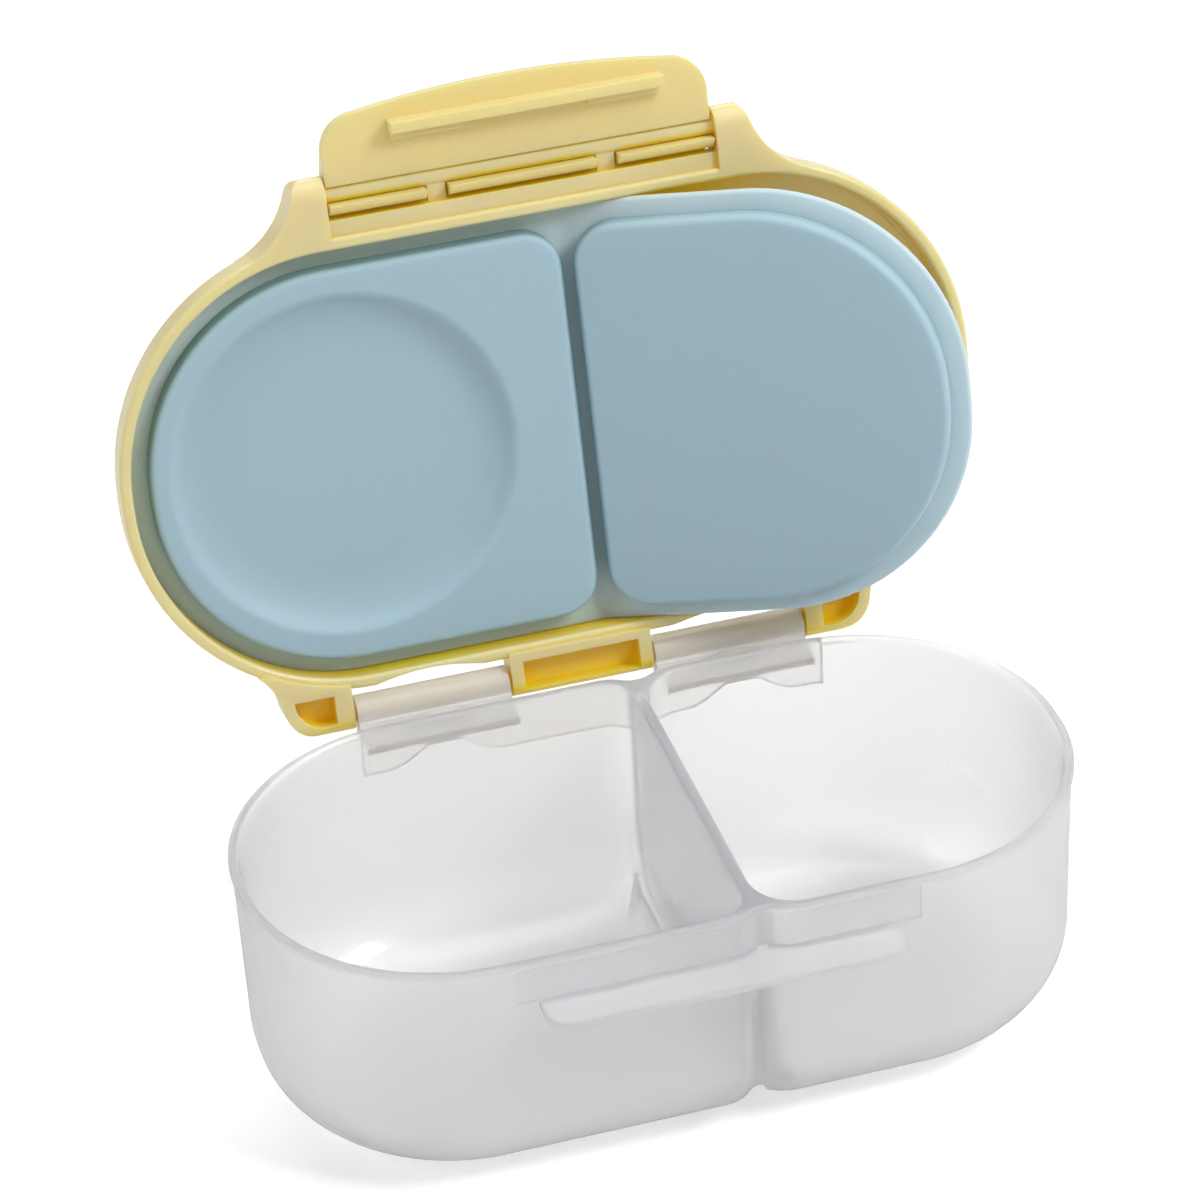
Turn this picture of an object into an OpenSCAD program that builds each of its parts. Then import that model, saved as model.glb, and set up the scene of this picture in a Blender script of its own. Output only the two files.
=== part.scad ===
// Two-compartment snack container, drawn open as it stands in use.
// X runs along the length, the latch side faces -Y, the hinge side +Y.
// The tub stands on z = 0, and the middle of the open container is over the origin.
// Every piece is modelled with the tub's middle at the origin and the lid shut.
// The lid is then swung open with all it carries, and the whole moved by mid_y.

/* [Tub] */
// Length of the tub over its rim
rim_len = 180; // [172:1:196]
// Width of the tub over its rim
rim_wid = 92; // [88:1:100]
// Height of the tub
tub_h = 58; // [54:1:66]
// Length of the straight piece in the middle of each rounded end
end_flat = 3; // [2:0.5:6]
// Thickness of the tub walls and floor
wall = 1.5; // [1.2:0.1:1.8]
// Radius of the rounded edge round the bottom
base_r = 18; // [14:1:20]
// How far each side wall leans in from rim to bottom
lean = 1; // [0.4:0.1:1.6]
// How far the rim bead stands out from the wall
rim_over = 0.6; // [0.4:0.1:1]
// Height of the rim bead
rim_h = 1.6; // [1.2:0.1:2.4]

/* [Divider] */
// Distance of the divider from the middle of the tub
div_x = 8.3; // [4:0.1:12]
// Thickness of the divider
div_t = 2.6; // [2:0.1:3.2]
// Radius of the rounded bottom edge along the divider
div_base_r = 15; // [13:1:16]
// Height of the arch under the divider
notch_h = 9.4; // [8:0.1:10]
// Radius at the top of the arch
notch_r = 2; // [1.5:0.1:2.4]
// Radius of the rounded bottom edges beside the arch
notch_side_r = 10; // [8:0.5:10.5]
// Inner upright corner radius of the large compartment at the divider
corner_l = 6.5; // [5:0.5:9]
// Inner upright corner radius of the small compartment at the divider
corner_r = 10; // [7:0.5:12]
// Radius that rounds the rim where the two compartments meet
valley_r = 6; // [4:0.5:8]

/* [Catch shelf] */
// Half length of the shelf under which the latch catches
shelf_half = 38.4; // [34:0.2:40]
// How far the shelf stands out from the rim
shelf_out = 8.6; // [7.6:0.1:9.2]
// Height of the top of the shelf below the rim
shelf_drop = 10.2; // [9.6:0.1:11]
// Thickness of the shelf
shelf_t = 2.2; // [1.6:0.1:2.6]
// Corner radius of the shelf
shelf_r = 5; // [3:0.5:7]
// Depth of the shallow recess behind the latch
recess = 0.6; // [0.3:0.1:0.8]

/* [Lid] */
// How far the lid reaches out beyond the rim
lid_over = 4.15; // [3.8:0.05:4.8]
// Thickness of the lid skirt
skirt_t = 2.6; // [2.2:0.1:2.8]
// How far the skirt reaches down over the rim
skirt_drop = 5; // [4:0.2:6]
// Thickness of the lid top
lid_t = 2.1; // [1.8:0.1:2.6]
// Radius of the edge round the lid top
lid_r = 3.6; // [2:0.2:4.4]
// Depth of the hollows in the skirt over the two hinge hooks
scallop = 1.8; // [1:0.1:2]
// Radius of the rounded free edge of the skirt
skirt_r = 0.9; // [0.5:0.1:1]

/* [Hinge] */
// Distance of the hinge line behind the rim
hinge_out = 10; // [9.6:0.1:11]
// Height of the hinge line below the rim
hinge_drop = 2.5; // [2:0.1:3]
// Radius of the hinge rods on the lid
rod_r = 2; // [1.8:0.05:2.2]
// Clearance between a rod and its hook
rod_gap = 0.08; // [0.04:0.01:0.1]
// Thickness of the hinge hooks on the tub
hook_t = 1.6; // [1.4:0.05:1.7]
// Distance from the middle to the inner end of each rod
rod_in = 15.9; // [14:0.1:18]
// Distance from the middle to the outer end of each rod
rod_out = 51.2; // [48:0.1:54]
// Side clearance between hooks and lid
side_gap = 0.6; // [0.4:0.05:1]
// Radius of the lid's ears and middle block round the hinge line
ear_r = 3.5; // [3:0.1:3.6]
// Radius of an ear's rear corner, seen from above
ear_corner = 9.2; // [7:0.1:10]
// Radius of the hollow curve from an ear into the lid's edge
ear_sweep = 14; // [8:0.5:16]
// Wall round the pocket in an ear
ear_wall = 2.6; // [2:0.1:3]
// Wall round the pocket in the middle block
block_wall = 2.8; // [2:0.1:3.4]
// Depth of the moulded pockets
pocket = 4.6; // [3:0.1:5]
// Width of the mouth through which a rod snaps into its hook
hook_mouth = 2.8; // [2:0.1:3]
// Angle below the horizontal at which that mouth faces
hook_turn = 60; // [50:1:70]
// Angle at which the open lid stands
open_angle = 103; // [90:1:110]
// How far the band along the back wall stands out beyond the rim
band_out = 0.8; // [0.5:0.1:1]
// Height of the band's lower edge below the rim
band_drop = 11.6; // [10:0.2:13]
// Thickness of the web from the back wall to the hinge hooks
web_t = 1.6; // [1.2:0.1:2]
// Half length of each arch in the band, the web and the lid's skirt
arch_half = 12.5; // [9:0.5:14]
// Height of the arches in the band's lower edge
band_rise = 5.6; // [3:0.1:6]
// Height of the arched ribs on the webs
rib_rise = 3; // [1.6:0.1:3.4]

/* [Latch] */
// Half width of the latch
latch_half = 42; // [38:0.5:43]
// Clearance between the latch and the lid beside it
latch_gap = 0.5; // [0.4:0.1:0.8]
// Distance of the latch rod in front of the rim
latch_out = 12.8; // [12.4:0.1:13.4]
// Height of the latch rod below the rim
latch_drop = 1; // [0.6:0.1:1.4]
// Radius of the latch rod on the lid
pin_r = 2; // [1.8:0.05:2.2]
// Thickness of the hooks that hold the latch on its rod
clasp_t = 2.6; // [2:0.1:2.8]
// Width of the mouth through which the rod snaps into the hooks
mouth = 3.6; // [3:0.1:3.8]
// Thickness of the latch flap
flap_t = 2.2; // [1.8:0.1:2.4]
// Distance from the rod to the middle of the flap's free edge
flap_len = 19.3; // [17.3:0.5:22.3]
// How far the free edge bows out in the middle
flap_bow = 2.6; // [1:0.2:4]
// Corner radius of the flap
flap_r = 8; // [5:0.5:10]
// Half length of the catch bar
bar_half = 29.7; // [24:0.5:32]
// Thickness of the catch bar
bar_t = 2.4; // [2:0.1:2.8]
// How far the catch bar reaches in under the shelf
bar_bite = 2; // [1.4:0.1:2.6]
// Clearance between catch bar and shelf when shut
bar_gap = 0.4; // [0.3:0.05:0.6]
// Width of each of the two posts that carry the rod
post_w = 4; // [3:0.2:5]
// Distance from the middle to the centre of each post
post_x = 18.5; // [15:0.5:22]
// Radius of the lid's shoulders round the latch rod
shoulder_r = 4; // [3.4:0.1:4]
// Width of a shoulder at its tip
shoulder_w = 7.4; // [6.4:0.1:9]
// Corner radius of a shoulder, seen from above
shoulder_corner = 3; // [2:0.1:3.4]
// Radius of the hollow curve from a shoulder into the lid's edge
shoulder_sweep = 20; // [12:0.5:24]
// Thickness of the flange between the shoulders
flange_t = 3.4; // [2.6:0.1:3.6]
// Distance of the catch bar's middle from the middle of the latch
bar_x = 2.2; // [0:0.1:4]
// Length of the thick end of the catch bar
leg = 16.4; // [10:0.1:20]

/* [Seal] */
// How far the seal's flange reaches out beyond the rim
seal_over = 0.3; // [0:0.1:0.9]
// Thickness of the seal's flange
seal_t = 2; // [1.6:0.1:2.4]
// Clearance between the seal and the pieces round it
seal_gap = 0.3; // [0.3:0.05:0.5]
// How far the pads reach down into the compartments
pad_h = 4.7; // [3.6:0.1:5.5]
// Clearance between the pads and the compartment walls
pad_gap = 0.5; // [0.5:0.05:0.8]
// Width of the groove between the two pads
groove = 3.6; // [3.4:0.1:4.4]
// Radius of the round dish in the large pad
dish_r = 35; // [28:0.5:36]
// Depth of the round dish
dish_d = 3.4; // [2:0.1:4]
// Width of the step round the pads' lower edge
pad_step = 1.2; // [0.6:0.1:1.6]
// Angle at which the loose end of the seal hangs out of the lid
seal_angle = 23.5; // [6:0.5:23.5]

/* [Hidden] */
$fn = 96;
eps = 0.01;
half_l = rim_len / 2;
half_w = rim_wid / 2;
// Centres of the large end arcs, shared by tub, lid and seal
end_r = half_w - end_flat / 2;
arc_x = half_l - end_r;
arc_y = end_flat / 2;
// Faces of the divider
div_l = div_x - div_t / 2;
div_r = div_x + div_t / 2;
// Inset of the wall's outer and inner faces from the rim's outline
in_out = rim_over;
in_in = rim_over + wall;
// Axes
hinge_y = half_w + hinge_out;
hinge_z = tub_h - hinge_drop;
hook_r = rod_r + rod_gap + hook_t;
pin_y = -half_w - latch_out;
pin_z = tub_h - latch_drop;
clasp_r = pin_r + rod_gap + clasp_t;
// Heights in the shut lid
skirt_z = tub_h - skirt_drop;
seal_z = tub_h + seal_gap;
ceil_z = seal_z + seal_t + 0.1;
lid_z = ceil_z + lid_t;
shelf_z = tub_h - shelf_drop;
hook_mid = (rod_in + rod_out) / 2;
arch_steps = 16;
// How far one shape runs into the next so that they fuse
root = 3;
seat = 0.3;
// Distance of the open container's middle behind the tub's middle
back_y = hinge_y + (hinge_y - pin_y) * sin(open_angle - 90)
    + (pin_z - hinge_z) * cos(open_angle - 90) + clasp_r;
mid_y = (back_y - half_w - shelf_out) / 2;

// Section through a side wall: u outward from the arc centre, v up
module wall_section(u, h, z0, r) {
    a = atan(lean / tub_h);
    cu = u - r / cos(a) - (h - z0 - r) * tan(a);
    polygon([[0, z0], [cu, z0], [cu + r * cos(a), z0 + r - r * sin(a)], [u, h], [0, h]]);
    translate([cu, z0 + r]) circle(r);
}

// Rounded outline from x0 to x1 with its own corner radius at each end
module d_plan(x0, x1, hw, r0, r1) {
    for (s = [-1, 1]) {
        translate([x0 + r0, s * (hw - r0)]) circle(r0);
        translate([x1 - r1, s * (hw - r1)]) circle(r1);
    }
    polygon([[x0 + r0, -hw], [x1 - r1, -hw], [x1, r1 - hw], [x1, hw - r1],
             [x1 - r1, hw], [x0 + r0, hw], [x0, hw - r0], [x0, r0 - hw]]);
}

// One compartment as a solid, round end towards -X, divider face at x = face
module cup(inset, h, z0, face, corner, r, dr) {
    u = end_r - inset;
    hw = half_w - inset;
    for (s = [0, 1])
        mirror([0, s, 0]) translate([-arc_x, arc_y, 0]) rotate([0, 0, 90])
            rotate_extrude(angle = 90) wall_section(u, h, z0, r);
    translate([-arc_x, -arc_y, 0]) rotate([90, 0, 180])
        linear_extrude(end_flat) wall_section(u, h, z0, r);
    intersection() {
        for (s = [0, 1])
            mirror([0, s, 0]) translate([-arc_x, 0, 0]) rotate([90, 0, 90])
                linear_extrude(arc_x + face) wall_section(hw, h, z0, r);
        translate([0, 0, z0 - 1]) linear_extrude(h - z0 + 2)
            d_plan(-half_l, face, hw, end_r / 2, corner);
        translate([0, half_l, 0]) rotate([90, 0, 0]) linear_extrude(rim_len) {
            polygon([[-half_l, z0], [face - dr, z0], [face, z0 + dr],
                     [face, h + 1], [-half_l, h + 1]]);
            translate([face - dr, z0 + dr]) circle(dr);
        }
    }
}

// Both compartments, as outer bodies or as hollows
module cups(inset, h, z0, past, rl, rr, r, dr) {
    cup(inset, h, z0, div_x + past, rl, r, dr);
    mirror([1, 0, 0]) cup(inset, h, z0, past - div_x, rr, r, dr);
}

// Hollow curve of radius r that fills the corner to the left of the line between two circles
module sweep_plan(c0, r0, c1, r1, r) {
    d = norm(c1 - c0);
    along = (c1 - c0) / d;
    across = [-along[1], along[0]];
    a = ((r0 + r) * (r0 + r) - (r1 + r) * (r1 + r) + d * d) / (2 * d);
    centre = c0 + along * a + across * sqrt((r0 + r) * (r0 + r) - a * a);
    difference() {
        polygon([c0, centre, c1]);
        translate(centre) circle(r + eps);
    }
}

// Rounded bottom of the dip where the compartments meet, front and back
module valley_plan(inset) {
    rl = corner_l + in_in - inset;
    rr = corner_r + in_in - inset;
    for (s = [0, 1])
        mirror([0, s])
            sweep_plan([div_r - corner_l - wall, half_w - corner_l - in_in], rl,
                [div_l + corner_r + wall, half_w - corner_r - in_in], rr, valley_r);
}

// Rim outline
module rim_plan() {
    d_plan(-half_l, div_r + rim_over, half_w, end_r, corner_l + in_in);
    d_plan(div_l - rim_over, half_l, half_w, corner_r + in_in, end_r);
    valley_plan(0);
}

// Walls in the dip, which follow the same leaning section as the rest
module valley_wall() {
    from = div_r - corner_l - wall;
    intersection() {
        for (s = [0, 1])
            mirror([0, s, 0]) translate([from, 0, 0]) rotate([90, 0, 90])
                linear_extrude(div_l + corner_r + wall - from)
                    wall_section(half_w - in_out, tub_h, 0, base_r);
        linear_extrude(tub_h - rim_h / 2) valley_plan(in_out);
    }
}

// Arched tunnel under the divider, open at the front and the back
module notch() {
    top_z = notch_h - notch_r;
    side_z = notch_side_r - eps;
    span = notch_side_r + notch_r;
    reach = sqrt(span * span - (side_z - top_z) * (side_z - top_z));
    translate([div_x, half_w + 1, 0]) rotate([90, 0, 0]) linear_extrude(rim_wid + 2) {
        difference() {
            polygon([[-reach, -1], [-reach, side_z], [0, top_z], [reach, side_z], [reach, -1]]);
            for (s = [-1, 1])
                translate([s * reach, side_z]) circle(notch_side_r);
        }
        translate([0, top_z]) circle(notch_r + eps);
    }
}

// Shelf outline seen from above, running back into the wall
module shelf_plan() {
    y0 = -half_w - shelf_out;
    for (s = [-1, 1])
        translate([s * (shelf_half - shelf_r), y0 + shelf_r]) circle(shelf_r);
    translate([-shelf_half + shelf_r, y0])
        square([2 * (shelf_half - shelf_r), shelf_out + root]);
    translate([-shelf_half, y0 + shelf_r])
        square([2 * shelf_half, shelf_out + root - shelf_r]);
}

// Height of the smooth arch over each hinge hook, from 0 at its feet to 1
function arch(x) = let (t = (abs(x) - hook_mid) / arch_half)
    abs(t) < 1 ? (1 + cos(180 * t)) / 2 : 0;

// Band along the back wall that carries the hinge hooks, broken by the valley
module hinge_band() {
    half = rod_out + band_out;
    low = tub_h - band_drop;
    top = tub_h - rim_h + 0.5;
    feet = [for (c = [-hook_mid, hook_mid], i = [0:arch_steps])
        let (x = c - arch_half + 2 * arch_half * i / arch_steps) [x, low + band_rise * arch(x)]];
    intersection() {
        translate([0, half_w + band_out + 1, 0]) rotate([90, 0, 0]) linear_extrude(half_w)
            polygon(concat([[-half, top], [-half, low]], feet, [[half, low], [half, top]]));
        translate([0, 0, low - 1]) linear_extrude(band_drop + 1) {
            d_plan(-half_l, div_r + rim_over + band_out, half_w + band_out, end_r,
                corner_l + wall + rim_over + band_out);
            d_plan(div_l - rim_over - band_out, half_l, half_w + band_out,
                corner_r + wall + rim_over + band_out, end_r);
        }
    }
}

// Two hooks that wrap over the hinge rods, open towards the back and below
module hinge_hooks() {
    x0 = rod_in + side_gap;
    len = rod_out - rod_in - 2 * side_gap;
    bore_r = rod_r + rod_gap;
    web_z = skirt_z - 0.5;
    rib_y = hinge_y - hook_r - 1.2;
    rib_t = 2;
    rib = [for (i = [0:arch_steps])
        let (x = hook_mid - arch_half + 2 * arch_half * i / arch_steps) [x, web_z + rib_rise * arch(x)]];
    for (s = [0, 1])
        mirror([s, 0, 0]) {
            translate([x0, 0, 0]) rotate([90, 0, 90]) linear_extrude(len)
                difference() {
                    union() {
                        translate([hinge_y, hinge_z]) circle(hook_r);
                        polygon([[half_w - rim_over, web_z - web_t],
                                 [hinge_y - 0.8, web_z - web_t],
                                 [hinge_y - 0.8, hinge_z - bore_r],
                                 [hinge_y - hook_r + 0.1, hinge_z - 0.6],
                                 [rib_y + 0.4, web_z], [half_w - rim_over, web_z]]);
                    }
                    translate([hinge_y, hinge_z]) circle(bore_r);
                    translate([hinge_y, hinge_z]) rotate(-hook_turn) translate([0, -hook_mouth / 2])
                        square([hook_r + 1, hook_mouth]);
                }
            translate([0, rib_y + rib_t, 0]) rotate([90, 0, 0]) linear_extrude(rib_t)
                polygon(concat([[hook_mid - arch_half, web_z - web_t]], rib,
                    [[hook_mid + arch_half, web_z - web_t]]));
        }
}

module tub() {
    color([0.93, 0.94, 0.96, 0.6]) translate([0, -mid_y, 0]) difference() {
        union() {
            cups(in_out, tub_h, 0, div_t / 2, corner_l + wall, corner_r + wall, base_r, 1);
            valley_wall();
            translate([0, 0, tub_h - rim_h]) linear_extrude(rim_h) rim_plan();
            translate([0, 0, shelf_z - shelf_t]) linear_extrude(shelf_t) shelf_plan();
            hinge_band();
            hinge_hooks();
        }
        cups(in_in, tub_h + 1, wall, -div_t / 2, corner_l, corner_r,
            base_r - wall, div_base_r - wall);
        notch();
        translate([-latch_half - 1, -half_w - 1, shelf_z])
            cube([2 * latch_half + 2, 1 + rim_over + recess, tub_h - rim_h - shelf_z]);
    }
}

// Sweeps a section (u outward, v up) round the rim's shape and fills the middle
module sweep_round(z0, z1) {
    for (sx = [0, 1], sy = [0, 1])
        mirror([sx, 0, 0]) mirror([0, sy, 0]) translate([arc_x, arc_y, 0])
            rotate_extrude(angle = 90) children();
    for (s = [0, 1]) {
        mirror([0, s, 0]) translate([-arc_x, arc_y, 0]) rotate([90, 0, 90])
            linear_extrude(2 * arc_x) children();
        mirror([s, 0, 0]) translate([arc_x, arc_y, 0]) rotate([90, 0, 0])
            linear_extrude(2 * arc_y) children();
    }
    translate([-arc_x - 1, -arc_y - 1, z0]) cube([2 * arc_x + 2, 2 * arc_y + 2, z1 - z0]);
}

// Section of the lid: top, rounded upper edge, skirt with a rounded free edge
module lid_section() {
    u1 = end_r + lid_over;
    u0 = u1 - skirt_t;
    e = skirt_r;
    translate([0, ceil_z]) square([u1 - lid_r, lid_z - ceil_z]);
    translate([u1 - lid_r, lid_z - lid_r]) intersection() {
        circle(lid_r);
        square(lid_r);
    }
    translate([u1 - lid_r, ceil_z - 1]) square([lid_r - skirt_t + 1, lid_z - lid_r - ceil_z + 1 + eps]);
    translate([u0, skirt_z + e]) square([skirt_t, lid_z - lid_r - skirt_z - e]);
    translate([u0 + e, skirt_z]) square([skirt_t - 2 * e, e]);
    for (u = [u0 + e, u1 - e])
        translate([u, skirt_z + e]) circle(e);
}

// Outline of a front shoulder, seen from above
module shoulder_plan() {
    x0 = latch_half + latch_gap;
    y1 = pin_y - shoulder_r;
    corner = [x0 + shoulder_w - shoulder_corner, y1 + shoulder_corner];
    translate(corner) circle(shoulder_corner);
    translate([x0, y1]) square([shoulder_w - shoulder_corner, -half_w + root - y1]);
    sweep_plan([arc_x, -arc_y], end_r + lid_over - seat, corner, shoulder_corner, shoulder_sweep);
}

// Middle of an ear's rounded rear corner
function ear_middle() = [rod_out + 6.1, hinge_y + ear_r - ear_corner];

// Outline of an ear at the back, seen from above
module ear_plan() {
    corner = ear_middle();
    intersection() {
        translate(corner) circle(ear_corner);
        translate([rod_out, half_w]) square(2 * ear_corner);
    }
    translate([rod_out, half_w]) square([corner[0] - rod_out, hinge_y + ear_r - half_w]);
    intersection() {
        sweep_plan(corner, ear_corner, [arc_x, arc_y], end_r + lid_over - seat, ear_sweep);
        translate([rod_out, 0]) square(half_l);
    }
}

// Round nose that the ears and the middle block have about the hinge line
module nose(x0, x1, y, z, r, inner) {
    translate([x0, 0, 0]) rotate([90, 0, 90]) linear_extrude(x1 - x0) {
        translate([y, z]) circle(r);
        translate([min(y, inner), z - r]) square([abs(inner - y), 2 * r]);
    }
}

// Ears and middle block that hold the hinge rods, with their moulded pockets
module hinge_blocks() {
    y0 = half_w + lid_over;
    y1 = hinge_y + ear_r;
    floor_z = hinge_z - ear_r;
    rear_wall = 1.8;
    difference() {
        union() {
            for (s = [0, 1])
                mirror([s, 0, 0]) intersection() {
                    nose(rod_out, half_l, hinge_y, hinge_z, ear_r, half_w - root);
                    translate([0, 0, floor_z - 1]) linear_extrude(2 * ear_r + 2) ear_plan();
                }
            nose(-rod_in, rod_in, hinge_y, hinge_z, ear_r, y0 - root);
        }
        translate([block_wall - rod_in, y0 + rear_wall / 2, floor_z - 1])
            cube([2 * (rod_in - block_wall), y1 - y0 - 1.5 * rear_wall, pocket + 1]);
        for (s = [0, 1])
            mirror([s, 0, 0]) translate([0, 0, floor_z - 1]) linear_extrude(pocket + 1)
                intersection() {
                    translate(ear_middle()) circle(ear_corner - ear_wall);
                    translate([rod_out + 1.5 * ear_wall, y0]) square(ear_corner);
                }
    }
}

// Front flange and shoulders that carry the latch rod
module latch_seat() {
    x0 = latch_half + latch_gap;
    y1 = pin_y + clasp_r + latch_gap;
    flange_z = pin_z + 0.6 - flange_t;
    translate([-x0 - 1, y1, flange_z]) cube([2 * x0 + 2, -half_w - y1, flange_t]);
    for (s = [0, 1])
        mirror([s, 0, 0]) {
            intersection() {
                nose(x0, half_l, pin_y, pin_z, shoulder_r, root - half_w);
                translate([0, 0, pin_z - shoulder_r - 1]) linear_extrude(2 * shoulder_r + 2)
                    shoulder_plan();
            }
            translate([post_x - post_w / 2, pin_y, pin_z - 1.3])
                cube([post_w, y1 - pin_y + 1, 2.6]);
        }
}

module lid_body() {
    room = half_w + lid_over - skirt_t / 2;
    bow = (arch_half * arch_half + scallop * scallop) / (2 * scallop);
    difference() {
        sweep_round(ceil_z, lid_z) lid_section();
        for (s = [-1, 1])
            translate([s * hook_mid, half_w + lid_over - scallop + bow, skirt_z - 1])
                cylinder(r = bow, h = ceil_z - skirt_z - 1, $fn = 180);
    }
    difference() {
        union() {
            hinge_blocks();
            latch_seat();
        }
        // Room for the rim inside the skirt
        translate([0, 0, skirt_z - 10]) linear_extrude(ceil_z - skirt_z + 10.4)
            d_plan(half_w - half_l - room, half_l + room - half_w, room,
                end_r + room - half_w, end_r + room - half_w);
    }
    for (s = [0, 1])
        mirror([s, 0, 0]) translate([rod_in - 1, hinge_y, hinge_z]) rotate([0, 90, 0])
            cylinder(r = rod_r, h = rod_out - rod_in + 2);
    translate([-latch_half - 1.5, pin_y, pin_z]) rotate([0, 90, 0])
        cylinder(r = pin_r, h = 2 * latch_half + 3);
}

// Outline of the latch flap, a = distance from the rod, x across
module flap_plan() {
    r = flap_r;
    end = flap_len - flap_bow;
    hb = latch_half - r;
    bow = (hb * hb + flap_bow * flap_bow) / (2 * flap_bow);
    for (s = [-1, 1])
        translate([s * hb, end - r]) circle(r);
    translate([-latch_half, 1]) square([2 * latch_half, end - r - 1]);
    translate([-hb, 1]) square([2 * hb, end - 2]);
    intersection() {
        translate([0, flap_len - bow]) circle(bow, $fn = 180);
        translate([-hb - 0.8, end - 1.5]) square([2 * hb + 1.6, flap_bow + 3]);
    }
}

// Section of the latch through a hook: u towards the lid, v up, rod at the origin
module clasp_section() {
    difference() {
        union() {
            circle(clasp_r);
            polygon([[0, clasp_r], [-1.5, clasp_r - 0.3], [-10, flap_t - pin_r - 0.3],
                     [-10, 0.3 - pin_r], [0, 0.3 - pin_r]]);
        }
        translate([-clasp_r - 1, -clasp_r - 1]) square([clasp_r + 1, clasp_r + 1.3 - pin_r]);
    }
}

// Latch as it lies when folded out flat in front of the shut lid
module latch_body() {
    catch_a = pin_z - (shelf_z - shelf_t) + bar_gap;
    reach = latch_out - shelf_out + bar_bite;
    leg_reach = reach - bar_bite - bar_gap;
    gap_l = post_x - post_w / 2 - latch_gap;
    gap_r = post_x + post_w / 2 + latch_gap;
    translate([0, pin_y, pin_z]) {
        difference() {
            union() {
                translate([0, 0, -pin_r]) linear_extrude(flap_t) mirror([0, 1]) flap_plan();
                for (g = [[-latch_half, -gap_r], [-gap_l, gap_l], [gap_r, latch_half]])
                    translate([g[0], 0, 0]) rotate([90, 0, 90])
                        linear_extrude(g[1] - g[0]) clasp_section();
            }
            translate([-latch_half - 1, 0, 0]) rotate([0, 90, 0])
                cylinder(r = pin_r + rod_gap, h = 2 * latch_half + 2);
            translate([-latch_half - 1, -mouth / 2, -clasp_r - 1])
                cube([2 * latch_half + 2, mouth, clasp_r + 1]);
        }
        // Catch bar, thicker near the flap at both ends
        translate([bar_x, -catch_a - bar_t, -reach]) {
            translate([-bar_half, 0, 0]) cube([2 * bar_half, bar_t, reach - pin_r + 1]);
            for (s = [0, 1])
                mirror([s, 0, 0]) translate([bar_half - leg, seat, reach - leg_reach])
                    cube([leg - seat, bar_t + 1.5, leg_reach - pin_r + 1]);
        }
    }
}

// Flange of the seal from x0 to x1
module seal_flange(x0, x1) {
    intersection() {
        translate([0, 0, seal_z]) linear_extrude(seal_t)
            d_plan(-half_l - seal_over, half_l + seal_over, half_w + seal_over,
                end_r + seal_over, end_r + seal_over);
        translate([x0, -rim_wid, 0]) cube([x1 - x0, 2 * rim_wid, 2 * tub_h]);
    }
}

// Pad that plugs one compartment, with a stepped lower edge
module pad(x0, x1, r0, r1) {
    e = pad_step;
    hw = half_w - in_in - pad_gap;
    intersection() {
        union() {
            translate([0, 0, seal_z - pad_h + e]) linear_extrude(pad_h - e + eps)
                d_plan(x0, x1, hw, r0, r1);
            translate([0, 0, seal_z - pad_h]) linear_extrude(e + eps)
                d_plan(x0 + e, x1 - e, hw - e, r0 - e, r1 - e);
        }
        translate([x0, -half_w, 0]) cube([x1 - x0, 2 * half_w, 2 * tub_h]);
    }
}

module seal_body() {
    big = end_r - in_in - pad_gap;
    difference() {
        union() {
            seal_flange(-rim_len, div_x - seal_gap / 2);
            pad(-half_l + in_in + pad_gap, div_x - groove / 2, big, corner_l + 0.5);
        }
        // Shallow round dish in the face of the pad
        translate([-arc_x, 0, seal_z - pad_h - 1]) rotate_extrude() {
            square([dish_r - dish_d, dish_d + 1]);
            translate([dish_r - dish_d, 1]) intersection() {
                circle(dish_d);
                square(dish_d);
            }
            square([dish_r, 1 + eps]);
        }
    }
}

module seal_end_body() {
    big = end_r - in_in - pad_gap;
    seal_flange(div_x + seal_gap / 2, rim_len);
    pad(div_x + groove / 2, half_l - in_in - pad_gap, corner_r - 0.5, big);
}

// Swings what belongs to the lid from shut to open
module open_lid() {
    translate([0, hinge_y - mid_y, hinge_z]) rotate([-open_angle, 0, 0])
        translate([0, -hinge_y, -hinge_z]) children();
}

module lid() { color([0.98, 0.9, 0.55]) open_lid() lid_body(); }

module latch() { color([0.97, 0.88, 0.5]) open_lid() latch_body(); }

module seal() { color([0.66, 0.81, 0.88]) open_lid() seal_body(); }

module seal_end() {
    color([0.69, 0.84, 0.9]) open_lid()
        translate([div_x, 0, seal_z]) rotate([0, seal_angle, 0])
            translate([-div_x, 0, -seal_z]) seal_end_body();
}

tub();
lid();
latch();
seal();
seal_end();
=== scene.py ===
import math

import bmesh
import bpy
from mathutils import Matrix, Vector


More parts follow.
